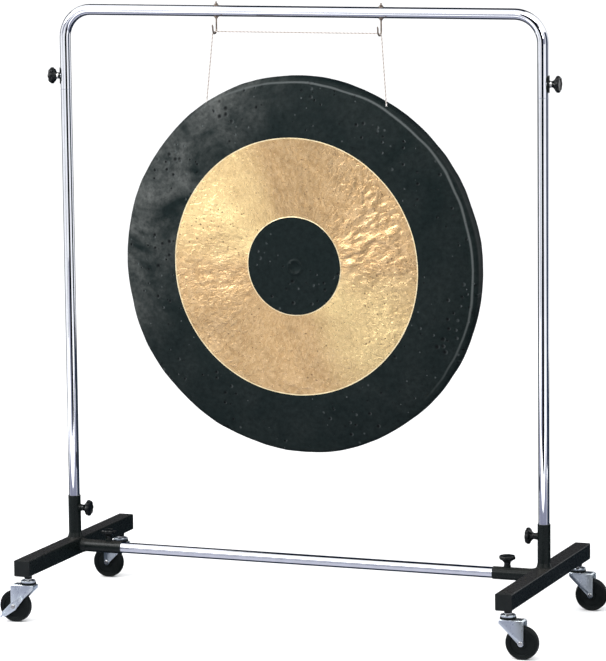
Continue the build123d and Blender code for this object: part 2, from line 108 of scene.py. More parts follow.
def ring_faces(rows, sides, looped=False):
    """Faces between rings of points: a tube with flat ends, or one that closes on itself."""
    faces = []
    for i in range(rows if looped else rows - 1):
        following = (i + 1) % rows
        for j in range(sides):
            k = (j + 1) % sides
            faces.append((i * sides + j, i * sides + k, following * sides + k, following * sides + j))
    if not looped:
        last = (rows - 1) * sides
        faces += [tuple(reversed(range(sides))), tuple(last + j for j in range(sides))]
    return faces


def joined(shapes):
    """The points and the faces of several shapes, as one shape."""
    points, faces, base = [], [], 0
    for found, made in shapes:
        points.append(found)
        faces += [tuple(base + i for i in face) for face in made]
        base += len(found)
    return np.concatenate(points), faces


def side_name(side):
    """The side's name: -1 is the left."""
    return "left" if side < 0 else "right"


def value_noise(x, y, seed, period=None):
    """Smooth noise from -1 to 1 over a lattice of unit cells, periodic in x when asked."""
    table = np.random.default_rng(seed).uniform(-1, 1, (512, 512))
    column, row = np.floor(x).astype(int), np.floor(y).astype(int)
    fx, fy = x - column, y - row
    fx, fy = fx * fx * (3 - 2 * fx), fy * fy * (3 - 2 * fy)
    wrap = period or 512
    left, right = column % wrap % 512, (column + 1) % wrap % 512
    low, high = row % 512, (row + 1) % 512
    bottom = table[left, low] * (1 - fx) + table[right, low] * fx
    top = table[left, high] * (1 - fx) + table[right, high] * fx
    return bottom * (1 - fy) + top * fy


# -------------------- camera
def make_camera():
    """A long lens, a little to the right of the stand and a little above it."""
    place = (3.0647, -7.9019, 1.8818)
    azimuth, elevation, roll = map(math.radians, (21.176, 8.156, -0.6473))
    right = Vector((math.cos(azimuth), math.sin(azimuth), 0))
    level = math.cos(elevation)
    forward = Vector((-math.sin(azimuth) * level, math.cos(azimuth) * level, -math.sin(elevation)))
    up = right.cross(forward)
    rolled_right = right * math.cos(roll) + up * math.sin(roll)
    rolled_up = up * math.cos(roll) - right * math.sin(roll)
    data = bpy.data.cameras.new("camera")
    data.sensor_width = 36.0
    data.lens = 203.57
    data.clip_start = 0.1
    data.clip_end = 120.0
    camera = linked("camera", data)
    rotation = Matrix((rolled_right, rolled_up, -forward)).transposed()
    camera.matrix_world = Matrix.Translation(place) @ rotation.to_4x4()
    bpy.context.scene.camera = camera


make_camera()


# -------------------- cord
HOOK_X = 0.200
ROPE_RADIUS = 1.5 * MM
ROPE_STRANDS = 3
ROPE_PITCH = 9.0 * MM
hang_line = Vector(joints["gong_tilt"]["pos_m"])
hook_line = Vector(joints["cord_swing"]["pos_m"])
LEFT_ROUTE = ((-223.60, 1177.17), (-206.21, 1331.0), (-204.75, 1349.75), (-186.0, 1349.75))
RIGHT_ROUTE = ((186.0, 1349.75), (204.75, 1349.75), (205.53, 1331.0), (215.74, 1177.13))


def cord_line():
    """The cord's own smooth line, from the knot in one rim hole over both hooks to the other."""
    route = [(x * MM, z * MM) for x, z in LEFT_ROUTE + RIGHT_ROUTE]
    data = bpy.data.curves.new("cord_line", "CURVE")
    data.dimensions = "3D"
    data.resolution_u = 48
    spline = data.splines.new("NURBS")
    spline.points.add(len(route) - 1)
    for point, (x, z) in zip(spline.points, route):
        point.co = (x, hook_line.y, z, 1)
    spline.order_u = 3
    spline.use_endpoint_u = True
    curve = linked("cord_line", data)
    bpy.context.view_layer.update()
    line = bpy.data.meshes.new_from_object(curve.evaluated_get(bpy.context.evaluated_depsgraph_get()))
    points = np.array([v.co for v in line.vertices])
    bpy.data.objects.remove(curve)
    bpy.data.meshes.remove(line)
    return points


def resample(points, step):
    """Points an even step apart along a line."""
    lengths = np.concatenate([[0], np.cumsum(np.linalg.norm(np.diff(points, axis=0), axis=1))])
    count = int(round(lengths[-1] / step)) + 1
    at = np.linspace(0, lengths[-1], count)
    return np.stack([np.interp(at, lengths, points[:, i]) for i in range(3)], 1), at


def frames_along(points, side):
    """Two normals along a line, carried from point to point without twist."""
    tangents = np.gradient(points, axis=0)
    tangents /= np.linalg.norm(tangents, axis=1)[:, None]
    normal = np.array(side, float)
    normals = []
    for tangent in tangents:
        normal = normal - tangent * (normal @ tangent)
        normal /= np.linalg.norm(normal)
        normals.append(normal)
    normals = np.array(normals)
    return normals, np.cross(tangents, normals)


def tube(points, side, radius):
    """A tube with flat ends along a line, with a radius for each of its points and sides."""
    normals, across = frames_along(points, side)
    return ring_points(points, normals, across, radius), ring_faces(*radius.shape)


def rope_mesh(name, points, side, radius=ROPE_RADIUS, step=0.6 * MM):
    """A laid rope: strands twisted a little unevenly round a line, the first of them a dark tracer."""
    line, at = resample(points, step)
    normals, across = frames_along(line, side)
    strand_radius = radius * 0.56
    offset = radius - strand_radius
    strands = []
    for strand in range(ROPE_STRANDS):
        turn = 2 * math.pi * (at / ROPE_PITCH + strand / ROPE_STRANDS)
        wander = 1 + 0.05 * value_noise(at / (7 * MM), np.full_like(at, strand * 3.7), 11)
        swing = normals * np.cos(turn)[:, None] + across * np.sin(turn)[:, None]
        centre = line + swing * (offset * wander)[:, None]
        strands.append(tube(centre, side, np.full((len(centre), 7), strand_radius)))
    mesh = mesh_of(name, *joined(strands))
    tracer = len(strands[0][1])
    mesh.polygons.foreach_set("material_index", [1] * tracer + [0] * (len(mesh.polygons) - tracer))
    return mesh


rope_path = cord_line()


# -------------------- materials
class Nodes:
    """Short calls that add nodes to a node tree."""

    def __init__(self, tree):
        self.tree = tree

    def node(self, kind, inputs=None, **settings):
        """Adds a node; an input is a value, or a socket to link from."""
        made = self.tree.nodes.new(kind)
        for key, value in settings.items():
            setattr(made, key, value)
        for key, value in (inputs or {}).items():
            self.feed(made.inputs[key], value)
        return made

    def feed(self, socket, value):
        """Links or sets an input."""
        if isinstance(value, bpy.types.NodeSocket):
            self.tree.links.new(value, socket)
        else:
            socket.default_value = value

    def math(self, operation, *values):
        return self.node("ShaderNodeMath", dict(enumerate(values)), operation=operation).outputs[0]

    def times(self, first, second):
        return self.math("MULTIPLY", first, second)

    def less(self, first, second):
        return self.math("SUBTRACT", first, second)

    def vector(self, operation, *values):
        return self.node("ShaderNodeVectorMath", dict(enumerate(values)), operation=operation).outputs

    def pair(self, x, y):
        """A vector from its X and Y."""
        return self.node("ShaderNodeCombineXYZ", {0: x, 1: y}).outputs[0]

    def parts(self, vector):
        """A vector's X, Y and Z."""
        return self.node("ShaderNodeSeparateXYZ", {0: vector}).outputs

    def span(self, value, low, high, to_low=0.0, to_high=1.0):
        """Maps a range to another, clamped."""
        inputs = {"Value": value, "From Min": low, "From Max": high, "To Min": to_low, "To Max": to_high}
        return self.node("ShaderNodeMapRange", inputs).outputs["Result"]

    def ramp(self, factor, *stops):
        """Colours at positions from 0 to 1."""
        made = self.node("ShaderNodeValToRGB", {"Fac": factor})
        elements = made.color_ramp.elements
        while len(elements) < len(stops):
            elements.new(0.5)
        for element, (position, colour) in zip(elements, stops):
            element.position = position
            element.color = (*colour, 1.0)
        return made.outputs["Color"]

    def mix(self, factor, first, second):
        """A colour between two."""
        made = self.node("ShaderNodeMix", data_type="RGBA")
        self.feed(made.inputs[0], factor)
        for socket, colour in ((made.inputs[6], first), (made.inputs[7], second)):
            self.feed(socket, (*colour, 1.0) if isinstance(colour, tuple) else colour)
        return made.outputs[2]


class Finish(Nodes):
    """A node material built round one Principled shader."""

    def __init__(self, name, metallic=0.0, roughness=0.5, specular=0.5, anisotropic=0.0):
        self.material = bpy.data.materials.new(name)
        self.material.use_nodes = True
        super().__init__(self.material.node_tree)
        self.shader = self.tree.nodes["Principled BSDF"]
        self.use(Metallic=metallic, Roughness=roughness, Specular_IOR_Level=specular, Anisotropic=anisotropic)
        self.place = self.node("ShaderNodeTexCoord").outputs["Object"]

    def use(self, **sockets):
        """Links or sets the shader's own sockets, and returns the material."""
        for key, value in sockets.items():
            self.feed(self.shader.inputs[key.replace("_", " ")], value)
        return self.material

    def stretched(self, scale):
        """The object's coordinates, scaled by a factor for each axis."""
        return self.vector("MULTIPLY", self.place, scale)[0]

    def noise(self, scale, detail=4.0, roughness=0.55, vector=None, distortion=0.0):
        inputs = {"Vector": vector or self.place, "Scale": scale, "Detail": detail}
        inputs |= {"Roughness": roughness, "Distortion": distortion}
        return self.node("ShaderNodeTexNoise", inputs).outputs["Fac"]

    def bump(self, height, distance, strength=1.0, under=None):
        """A normal bent by a height, over the normal under it if there is one."""
        inputs = {"Height": height, "Distance": distance, "Strength": strength}
        if under is not None:
            inputs["Normal"] = under
        return self.node("ShaderNodeBump", inputs).outputs["Normal"]


def chrome_finish(name, tint, low, high, along):
    """Plated steel: nearly a mirror, with faint polishing lines along the piece and soft smears."""
    f = Finish(name, metallic=1.0)
    lines = f.noise(1.0, 5.0, 0.6, f.stretched(along))
    smears = f.noise(38.0, 3.0, 0.5)
    colour = f.mix(f.span(smears, 0.35, 0.7), tint, tuple(0.93 * c for c in tint))
    dulling = f.math("ADD", f.times(lines, 0.6), f.times(smears, 0.4))
    rough = f.span(dulling, 0.3, 0.75, low, high)
    normal = f.bump(lines, 0.000012, 0.4)
    return f.use(Base_Color=colour, Roughness=rough, Normal=normal)


def paint_finish():
    """Satin black powder coat with a fine orange peel, paler and browner where it faces up: dust, and a
    painted highlight of the light from above.
    """
    f = Finish("black_powder_coat", specular=0.2)
    peel = f.noise(900.0, 2.0, 0.5)
    cloud = f.noise(24.0, 4.0, 0.6)
    up = f.parts(f.node("ShaderNodeNewGeometry").outputs["Normal"])[2]
    base = f.ramp(cloud, (0.3, (0.0024, 0.0042, 0.0040)), (0.75, (0.0036, 0.0058, 0.0055)))
    # dust and painted highlight: up-facing surfaces are mixed towards a pale brown
    colour = f.mix(f.span(up, 0.6, 1.0, 0.0, 0.6), base, (0.032, 0.030, 0.028))
    rough = f.span(f.noise(160.0, 3.0), 0.3, 0.7, 0.24, 0.34)
    normal = f.bump(cloud, 0.00005, 0.15, f.bump(peel, 0.00005, 0.35))
    return f.use(Base_Color=colour, Roughness=rough, Normal=normal)


def plastic_finish(name, shade, low, high, grain):
    """Moulded black plastic with a fine spark-eroded grain."""
    f = Finish(name, specular=0.3)
    fine = f.noise(grain, 2.0, 0.6)
    worn = f.noise(120.0, 4.0, 0.65)
    colour = f.ramp(worn, (0.3, tuple(0.75 * c for c in shade)), (0.8, tuple(1.5 * c for c in shade)))
    rough = f.span(worn, 0.3, 0.7, low, high)
    return f.use(Base_Color=colour, Roughness=rough, Normal=f.bump(fine, 0.00005, 0.35))


def rubber_finish():
    """Hard black rubber, a little cloudy, with a fine grain."""
    f = Finish("wheel_rubber", specular=0.1)
    cloud = f.noise(70.0, 4.0, 0.6)
    colour = f.ramp(cloud, (0.3, (0.0022, 0.0036, 0.0038)), (0.8, (0.0060, 0.0078, 0.0080)))
    rough = f.span(cloud, 0.3, 0.7, 0.4, 0.62)
    return f.use(Base_Color=colour, Roughness=rough, Normal=f.bump(f.noise(700.0, 2.0), 0.00008, 0.4))


def steel_finish(name, tint, low, high):
    """Zinc-plated steel, dull in places."""
    f = Finish(name, metallic=1.0)
    cloud = f.noise(260.0, 4.0, 0.6)
    colour = f.ramp(cloud, (0.3, tuple(0.6 * c for c in tint)), (0.7, tint))
    rough = f.span(cloud, 0.3, 0.7, low, high)
    return f.use(Base_Color=colour, Roughness=rough, Normal=f.bump(f.noise(1800.0, 2.0), 0.00002, 0.4))


def rope_finish(name, low, high):
    """Twisted cord with a fine fibre grain and a little grime, and a painted highlight that makes it paler
    below 1.19 m, where it goes into the rim.
    """
    f = Finish(name, roughness=0.85, specular=0.2)
    fibre = f.noise(5200.0, 3.0, 0.6)
    grime = f.noise(90.0, 4.0, 0.65)
    colour = f.mix(f.span(grime, 0.4, 0.75, 0.0, 0.6), high, low)
    colour = f.mix(f.span(fibre, 0.35, 0.7, 0.0, 0.5), colour, tuple(min(1.0, 1.2 * c) for c in high))
    # painted highlight: the cord is mixed towards near-white below 1.19 m, where it runs down into the rim
    colour = f.mix(f.span(f.parts(f.place)[2], 1.189, 1.195, 0.9, 0.0), colour, (0.84, 0.82, 0.80))
    return f.use(Base_Color=colour, Sheen_Weight=0.25, Normal=f.bump(fibre, 0.00012, 0.7))


CHROME_TINT = (0.82, 0.84, 0.90)
chrome_upright = chrome_finish("chrome_upright", CHROME_TINT, 0.02, 0.05, (700.0, 700.0, 6.0))
chrome_level = chrome_finish("chrome_level", CHROME_TINT, 0.02, 0.05, (6.0, 700.0, 700.0))
caster_chrome = chrome_finish("caster_chrome", (0.80, 0.87, 0.92), 0.22, 0.40, (220.0, 220.0, 60.0))
powder_coat = paint_finish()
knob_plastic = plastic_finish("knob_plastic", (0.0018, 0.0026, 0.0028), 0.13, 0.24, 1500.0)
cap_plastic = plastic_finish("cap_plastic", (0.0035, 0.0050, 0.0048), 0.34, 0.46, 1100.0)
wheel_rubber = rubber_finish()
dark_steel = steel_finish("dark_steel", (0.26, 0.21, 0.175), 0.26, 0.42)
bright_steel = steel_finish("bright_steel", (0.70, 0.69, 0.68), 0.2, 0.36)
cord_fibre = rope_finish("cord_fibre", (0.24, 0.21, 0.19), (0.44, 0.40, 0.37))
cord_tracer = rope_finish("cord_tracer", (0.06, 0.045, 0.04), (0.12, 0.09, 0.08))


def gong_place(f):
    """The point in the gong's plane, its radius and its angle, and its distance across and up."""
    centred = f.vector("SUBTRACT", f.place, tuple(gong_centre))[0]
    across = f.vector("DOT_PRODUCT", centred, (1, 0, 0))["Value"]
    rise = f.vector("DOT_PRODUCT", centred, tuple(gong_up))["Value"]
    flat = f.pair(across, rise)
    return flat, f.vector("LENGTH", flat)["Value"], f.math("ARCTAN2", across, rise), across, rise


def pits(f, flat, scale, size, chance):
    """Small round pits scattered in patches: their dark hollows, and a painted highlight crescent beside
    each, on one side.
    """
    patch = f.span(f.noise(7.0, 2.0, 0.5, flat), 0.36, 0.62, 0.0, chance)
    spots = []
    for shift in ((0.0, 0.0, 0.0), (-0.0011, 0.0, 0.0012)):
        moved = f.vector("ADD", flat, shift)[0]
        cells = f.node("ShaderNodeTexVoronoi", {"Vector": moved, "Scale": scale, "Randomness": 1.0}).outputs
        pick = f.node("ShaderNodeSeparateColor", {0: cells["Color"]}).outputs[0]
        distance = f.math("DIVIDE", cells["Distance"], f.math("MULTIPLY_ADD", pick, 1.3, 0.4))
        spot = f.span(distance, size * 0.35, size, 1.0, 0.0)
        spots.append(f.times(spot, f.math("LESS_THAN", pick, patch)))
    # the second value is a painted highlight: the pit moved a little to one side, less the pit itself
    return spots[0], f.math("MAXIMUM", f.less(spots[1], spots[0]), 0.0)


def oxide_finish():
    """Blackened bronze: dark slate with grey clouds that carry a painted highlight towards the upper left,
    small hammer pits with a painted highlight crescent beside each, and a painted highlight line along the
    upper right of the shoulder.
    """
    f = Finish("gong_black_oxide", specular=0.06)
    flat, radius, _, across, rise = gong_place(f)
    cloud = f.noise(9.0, 6.0, 0.62, flat, 0.6)
    fine = f.noise(85.0, 5.0, 0.65, flat)
    marks, lit = pits(f, flat, 62.0, 0.26, 0.9)
    clouds_and_painted_sheen = f.times(f.span(cloud, 0.38, 0.68), f.span(fine, 0.3, 0.7, 0.3, 1.0))
    # painted highlight: the grey clouds are kept to the upper left and the outer black border, standing in
    # for reflected light there
    side = f.span(f.less(f.times(rise, 0.55), across), 0.22, 0.44, 0.05, 1.0)
    outside = f.span(radius, 0.18, 0.33, 0.3, 1.0)
    clouds_and_painted_sheen = f.times(clouds_and_painted_sheen, f.times(side, outside))
    base = f.ramp(fine, (0.3, (0.0026, 0.0054, 0.0056)), (0.75, (0.0062, 0.0108, 0.0110)))
    colour = f.mix(clouds_and_painted_sheen, base, (0.094, 0.098, 0.095))
    # painted highlight: a pale crescent beside each pit
    colour = f.mix(f.times(lit, 0.7), colour, (0.085, 0.098, 0.100))
    colour = f.mix(marks, colour, (0.002, 0.003, 0.0035))
    # painted highlight: a pale line along the shoulder, only on its upper right
    shoulder = f.span(f.noise(6.0, 2.0, 0.5, flat), 0.0, 1.0, 0.413, 0.431)
    crease_highlight = f.span(f.math("ABSOLUTE", f.less(radius, shoulder)), 0.0006, 0.0032, 1.0, 0.0)
    upper = f.span(f.math("MULTIPLY_ADD", rise, 0.9, across), 0.02, 0.40, 0.0, 0.75)
    colour = f.mix(f.times(crease_highlight, upper), colour, (0.075, 0.084, 0.084))
    rough = f.span(cloud, 0.3, 0.7, 0.36, 0.5)
    soft = f.bump(f.noise(26.0, 3.0, 0.5, flat), 0.0035, 0.6)
    grain = f.bump(fine, 0.0004, 0.4, soft)
    pitted = f.bump(f.less(1.0, marks), 0.0018, 1.0, grain)
    return f.use(Base_Color=colour, Roughness=rough, Normal=pitted)


def bronze_finish():
    """Scraped bronze: golden tan, with hammered ripples that run out from the centre, dark pits, and two
    opposite bands of painted highlight across the ring.
    """
    f = Finish("gong_bronze", metallic=1.0, anisotropic=0.45)
    flat, radius, turn, across, _ = gong_place(f)
    ripple_place = f.pair(f.times(turn, 26.0), f.times(radius, 80.0))
    ripple = f.noise(1.0, 4.0, 0.6, ripple_place, 0.5)
    fine = f.noise(1.0, 4.0, 0.62, f.pair(f.times(turn, 60.0), f.times(radius, 190.0)))
    rings = f.noise(1.0, 3.0, 0.6, f.pair(f.times(radius, 900.0), turn))
    cloud = f.noise(13.0, 4.0, 0.55, flat)
    marks = pits(f, flat, 105.0, 0.24, 0.85)[0]
    # painted highlight: two opposite bright bands across the ring, at fixed angles on the gong, mixed into
    # the colour below
    bands = f.math("COSINE", f.math("MULTIPLY_ADD", turn, 2.0, math.radians(106)))
    painted_sheen = f.times(f.span(bands, 0.2, 0.95), f.span(cloud, 0.3, 0.6, 0.45, 1.0))
    tans = ((0.3, (0.49, 0.31, 0.145)), (0.55, (0.60, 0.39, 0.190)), (0.75, (0.70, 0.475, 0.250)))
    colour = f.ramp(cloud, *tans)
    colour = f.mix(f.span(ripple, 0.42, 0.62, 0.0, 0.4), colour, (0.84, 0.61, 0.35))
    # the painted highlight bands, mixed towards a bright gold
    colour = f.mix(f.times(painted_sheen, 0.8), colour, (1.0, 0.76, 0.37))
    colour = f.mix(f.times(marks, 0.85), colour, (0.16, 0.085, 0.045))
    rough = f.span(fine, 0.3, 0.7, 0.24, 0.38)
    beaten = f.span(f.math("ABSOLUTE", across), 0.04, 0.2, 0.3, 1.0)
    normal = f.bump(f.times(ripple, beaten), 0.0045, 0.6)
    normal = f.bump(fine, 0.0007, 0.3, normal)
    normal = f.bump(rings, 0.0001, 0.35, normal)
    normal = f.bump(f.less(1.0, marks), 0.0005, 0.8, normal)
    tangent = f.node("ShaderNodeTangent", direction_type="RADIAL", axis="Y")
    return f.use(Base_Color=colour, Roughness=rough, Normal=normal, Tangent=tangent.outputs[0])


def edge_finish():
    """The bright scraped line where bronze meets black."""
    f = Finish("gong_scraped_edge", metallic=1.0)
    flat = gong_place(f)[0]
    cloud = f.noise(60.0, 4.0, 0.6, flat)
    colour = f.ramp(cloud, (0.3, (0.90, 0.70, 0.38)), (0.7, (1.0, 0.88, 0.60)))
    rough = f.span(cloud, 0.3, 0.7, 0.32, 0.48)
    normal = f.bump(f.noise(400.0, 3.0, 0.6, flat), 0.0003, 0.4)
    return f.use(Base_Color=colour, Roughness=rough, Normal=normal)


# -------------------- gong
GONG_TILT = math.radians(2.2)
HOLE_ANGLE = math.radians(30.6)
HOLE_CENTRE_RADIUS = 430.0 * MM
HOLE_DEPTH = 8.0 * MM
HOLE_RADIUS = 4.0 * MM
# The dish, in millimetres: radii from its axis, and depths that grow towards the back.
THICKNESS = 2.8
DISC, DISC_DEPTH = 111.0, -23.0
RING, RING_DEPTH = 297.0, -21.0
SHOULDER = (419.0, -5.0)
RIM_BEND = (432.0, 11.0)
RIM_END = (425.0, 60.0)
DISC_RADII = (
    0.6, 3, 6, 9, 11, 12.5, 14, 15.5, 17, 18.5, 20, 22, 25, 29,
    34, 40, 47, 54, 61, 68, 75, 82, 89, 95, 101, 106, 109.2, 110.4,
)
gong_back = Vector((0, math.cos(GONG_TILT), math.sin(GONG_TILT)))
gong_up = Vector((0, -math.sin(GONG_TILT), math.cos(GONG_TILT)))
gong_centre = hang_line - gong_up * (HOLE_CENTRE_RADIUS * math.cos(HOLE_ANGLE)) - gong_back * HOLE_DEPTH


def tangent_arc(start, heading, end, shares):
    """Points of the arc that leaves start along heading and ends at end, and its last heading."""
    start, heading, end = (np.array(v, float) for v in (start, heading, end))
    chord = end - start
    alpha = math.atan2(heading[0] * chord[1] - heading[1] * chord[0], heading @ chord)
    left = np.array((-heading[1], heading[0]))
    radius = np.linalg.norm(chord) / (2 * math.sin(alpha))
    centre = start + left * radius

    def turned(vector, angle):
        c, s = math.cos(angle), math.sin(angle)
        return np.array((c * vector[0] - s * vector[1], s * vector[0] + c * vector[1]))

    points = [centre + turned(-left * radius, 2 * alpha * share) for share in shares]
    return points, turned(heading, 2 * alpha)


def gong_profile():
    """Radius, depth and outward normal of the front surface, from the centre to the rim's end."""
    points = [np.array((r, DISC_DEPTH)) for r in DISC_RADII]
    heading = (1.0, 0.0)
    ring_shares = np.concatenate([[0.0, 0.005, 0.012], np.linspace(0.024, 0.976, 76), [0.987, 0.9945, 1.0]])
    black_shares = np.concatenate([[0.006, 0.014], np.linspace(0.03, 1, 42)])
    rim_shares = np.concatenate([np.linspace(0.035, 0.2, 4), np.linspace(0.28, 1.0, 12)])
    for start, end, shares in (
        ((DISC, DISC_DEPTH), (RING, RING_DEPTH), ring_shares),
        ((RING, RING_DEPTH), SHOULDER, black_shares),
        (SHOULDER, RIM_BEND, np.linspace(1 / 12, 1, 12)),
        (RIM_BEND, RIM_END, rim_shares),
    ):
        made, heading = tangent_arc(start, heading, end, shares)
        points += made
    profile = np.array(points)
    tangent = np.gradient(profile, axis=0)
    tangent /= np.linalg.norm(tangent, axis=1)[:, None]
    return profile, np.stack([tangent[:, 1], -tangent[:, 0]], 1)


def smooth_step(value, low, high):
    """0 up to low and 1 from high on, with a smooth rise between."""
    share = np.clip((value - low) / (high - low), 0, 1)
    return share * share * (3 - 2 * share)


def bell(value, middle, width):
    """1 at the middle, falling to nothing on both sides."""
    return np.exp(-(((value - middle) / width) ** 2))


def sheet_relief(radius, turn):
    """Hammered relief of the whole sheet, in millimetres towards the front."""
    x, z = radius * np.sin(turn), radius * np.cos(turn)
    broad = 1.3 * value_noise(x / 88 + 40, z / 88 + 40, 1) + 0.8 * value_noise(x / 43 + 40, z / 43 + 40, 2)
    marks = 0.34 * value_noise(x / 19 + 60, z / 19 + 60, 3) + 0.12 * value_noise(x / 9 + 90, z / 9 + 90, 4)
    in_ring = smooth_step(radius, DISC, DISC + 22) * (1 - smooth_step(radius, RING - 42, RING - 4))
    ripples = np.zeros_like(radius)
    for width, length, height, seed in ((12, 19, 1.05, 5), (7, 11, 0.42, 6)):
        streak = np.zeros_like(radius)
        for share in np.linspace(-0.5, 0.5, 7):
            away = radius + share * length
            streak += value_noise(away * np.sin(turn) / width + 80, away * np.cos(turn) / width + 80, seed)
        ripples += height * streak / 7 * 2.0
    strength = 0.22 + 1.15 * bell(turn, 1.2, 0.62) + 0.42 * bell(turn, -1.55, 0.6)
    strength = strength * (0.75 + 0.5 * value_noise(x / 70 + 20, z / 70 + 20, 7))
    calm = 0.35 + 0.65 * smooth_step(radius, 80, 150)
    return broad * calm + marks * (1 - 0.6 * in_ring) + ripples * in_ring * strength


def rim_unevenness(turn):
    """How far the hand-beaten outline strays from its circle, in millimetres."""
    waves = ((2.5, 1, 162), (2.4, 2, -5), (1.1, 3, 5), (0.5, 9, 10), (0.4, 14, 60))
    return 1.0 + sum(size * np.cos(count * (turn - math.radians(at))) for size, count, at in waves)


def face_relief(radius):
    """Relief that only the front has, the scraped ring and the centre mark, in millimetres."""
    scraped = smooth_step(radius, DISC, DISC + 1.0) * (1 - smooth_step(radius, RING - 1.0, RING))
    centre_mark = 3.0 * bell(radius, 15.5, 3.0) - 2.2 * bell(radius, 0, 10.5)
    return -0.35 * scraped + centre_mark


def gong_turns():
    """Angles round the gong, closer together at the two holes."""
    offsets = np.linspace(-0.0145, 0.0145, 13)
    near_holes = [side * HOLE_ANGLE + offset for side in (-1, 1) for offset in offsets]
    even = np.linspace(-math.pi, math.pi, 800, endpoint=False)
    return np.array(sorted([a for a in even if abs(abs(a) - HOLE_ANGLE) > 0.0165] + near_holes))


def gong_grid(profile, outward, turns):
    """Rows of points: the front from the centre to the rim, the rounded rim end, and the back."""
    radius, turn = np.meshgrid(profile[:, 0], turns, indexing="ij")
    depth = np.repeat(profile[:, 1:2], len(turns), axis=1)
    normal_r = np.repeat(outward[:, 0:1], len(turns), axis=1)
    normal_d = np.repeat(outward[:, 1:2], len(turns), axis=1)

    def round_noise(cells, row, seed):
        return value_noise((turn + math.pi) / (2 * math.pi) * cells, np.full_like(turn, row), seed, cells)

    # how far the ring's and the disc's edges and the outline stray from circles
    wobble = (
        0.9 * round_noise(14, 3.3, 8) * bell(radius, RING, 30)
        + 0.7 * round_noise(9, 7.1, 9) * bell(radius, DISC, 22)
        + rim_unevenness(turn) * smooth_step(radius, 330, 430)
        + (1.2 - 2.6 * np.sin(turn) + 2.6 * np.cos(turn)) * bell(radius, DISC, 34)
        + (0.2 - 1.0 * np.sin(turn)) * bell(radius, RING, 40)
    )
    lip = 1.1 * round_noise(16, 2.4, 12) * smooth_step(radius, 400, 425)
    near_hole = bell(np.abs(turn), HOLE_ANGLE, 0.05) * smooth_step(radius, 380, 420)
    shared = sheet_relief(radius, turn) * (1 - 0.85 * near_hole)
    layers = []
    for relief in (face_relief(radius), -THICKNESS):
        r = radius + wobble * (1 - near_hole) + normal_r * (shared + relief)
        d = depth + lip * (1 - near_hole) + normal_d * (shared + relief)
        layers.append(
            np.array(gong_centre)[None, None, :]
            + (r * np.sin(turn))[:, :, None] * MM * np.array((1.0, 0, 0))
            + (r * np.cos(turn))[:, :, None] * MM * np.array(gong_up)
            + d[:, :, None] * MM * np.array(gong_back)
        )
    front, back = layers
    rim_end = []
    for share in (0.25, 0.5, 0.75):
        bulge = np.array(gong_back) * (1.3 * MM * math.sin(math.pi * share))
        rim_end.append(front[-1] * (1 - share) + back[-1] * share + bulge)
    return np.concatenate([front, np.array(rim_end), back[::-1]])


def drill_holes(grid, turns, front_rows):
    """Moves points to the edges of the two holes; returns the front's cells in them, and their outline."""
    total, columns = grid.shape[:2]
    cut, holes = set(), {}
    for side in (-1, 1):
        axis = gong_up * math.cos(HOLE_ANGLE) + Vector((side * math.sin(HOLE_ANGLE), 0, 0))
        centre = np.array(gong_centre + axis * HOLE_CENTRE_RADIUS + gong_back * HOLE_DEPTH)
        axis = np.array(axis)
        holes[side] = (centre, axis)
        away = grid - centre
        along = away @ axis
        radial = away - along[..., None] * axis
        near = (np.linalg.norm(radial, axis=2) < 9 * MM) & (np.abs(along) < 20 * MM)
        for i in range(front_rows - 1):
            for j in np.nonzero(near[i])[0]:
                k = (j + 1) % columns
                middle = np.mean([radial[c] for c in ((i, j), (i, k), (i + 1, k), (i + 1, j))], axis=0)
                if np.linalg.norm(middle) < 0.86 * HOLE_RADIUS:
                    cut.add((i, int(j)))
    outline = {}
    for i, j in cut:
        k = (j + 1) % columns
        for a, b in (((i, j), (i, k)), ((i, k), (i + 1, k)), ((i + 1, k), (i + 1, j)), ((i + 1, j), (i, j))):
            if (b, a) in outline:
                del outline[(b, a)]
            else:
                outline[(a, b)] = True
    for i, j in {corner for edge in outline for corner in edge}:
        centre, axis = holes[1 if turns[j] > 0 else -1]
        for row in (i, total - 1 - i):
            away = grid[row, j] - centre
            along = away @ axis
            radial = away - along * axis
            grid[row, j] = centre + along * axis + radial * (HOLE_RADIUS / np.linalg.norm(radial))
    return cut, outline


def face_kind(profile, row):
    """0 black, 1 bronze, 2 scraped edge, for a row of faces of the grid."""
    if row >= len(profile) - 1:
        return 0
    middle = (profile[row, 0] + profile[row + 1, 0]) / 2
    if middle < DISC or middle > RING:
        return 0
    return 2 if middle < DISC + 2.2 or middle > RING - 2.4 else 1


def gong_mesh():
    """A closed hammered dish with a rounded rim end and two drilled holes, and the kind of each face."""
    profile, outward = gong_profile()
    turns = gong_turns()
    grid = gong_grid(profile, outward, turns)
    total, columns = grid.shape[:2]
    cut, outline = drill_holes(grid, turns, len(profile))
    faces, kinds = [], []
    for i in range(total - 1):
        for j in range(columns):
            k = (j + 1) % columns
            if (i, j) in cut or (total - 2 - i, j) in cut:
                continue
            faces.append((i * columns + j, i * columns + k, (i + 1) * columns + k, (i + 1) * columns + j))
            kinds.append(face_kind(profile, i))
    last = (total - 1) * columns
    front_pole, back_pole = total * columns, total * columns + 1
    for j in range(columns):
        k = (j + 1) % columns
        faces += [(k, j, front_pole), (back_pole, last + j, last + k)]
    for a, b in outline:
        front = [i * columns + j for i, j in (a, b)]
        back = [(total - 1 - i) * columns + j for i, j in (a, b)]
        faces.append((front[0], front[1], back[1], back[0]))
    kinds += [0] * (len(faces) - len(kinds))
    poles = np.array([grid[0].mean(axis=0), grid[-1].mean(axis=0)])
    return mesh_of("gong_dish", np.concatenate([grid.reshape(-1, 3), poles]), faces), kinds


def make_gong():
    """The gong: black, with a scraped bronze ring on its front."""
    mesh, kinds = gong_mesh()
    finishes = [oxide_finish(), bronze_finish(), edge_finish()]
    add_piece("gong_dish", mesh, "gong", finishes, ["gong"])
    mesh.polygons.foreach_set("material_index", np.array(kinds, np.int32))
    turn_outwards(mesh)


make_gong()


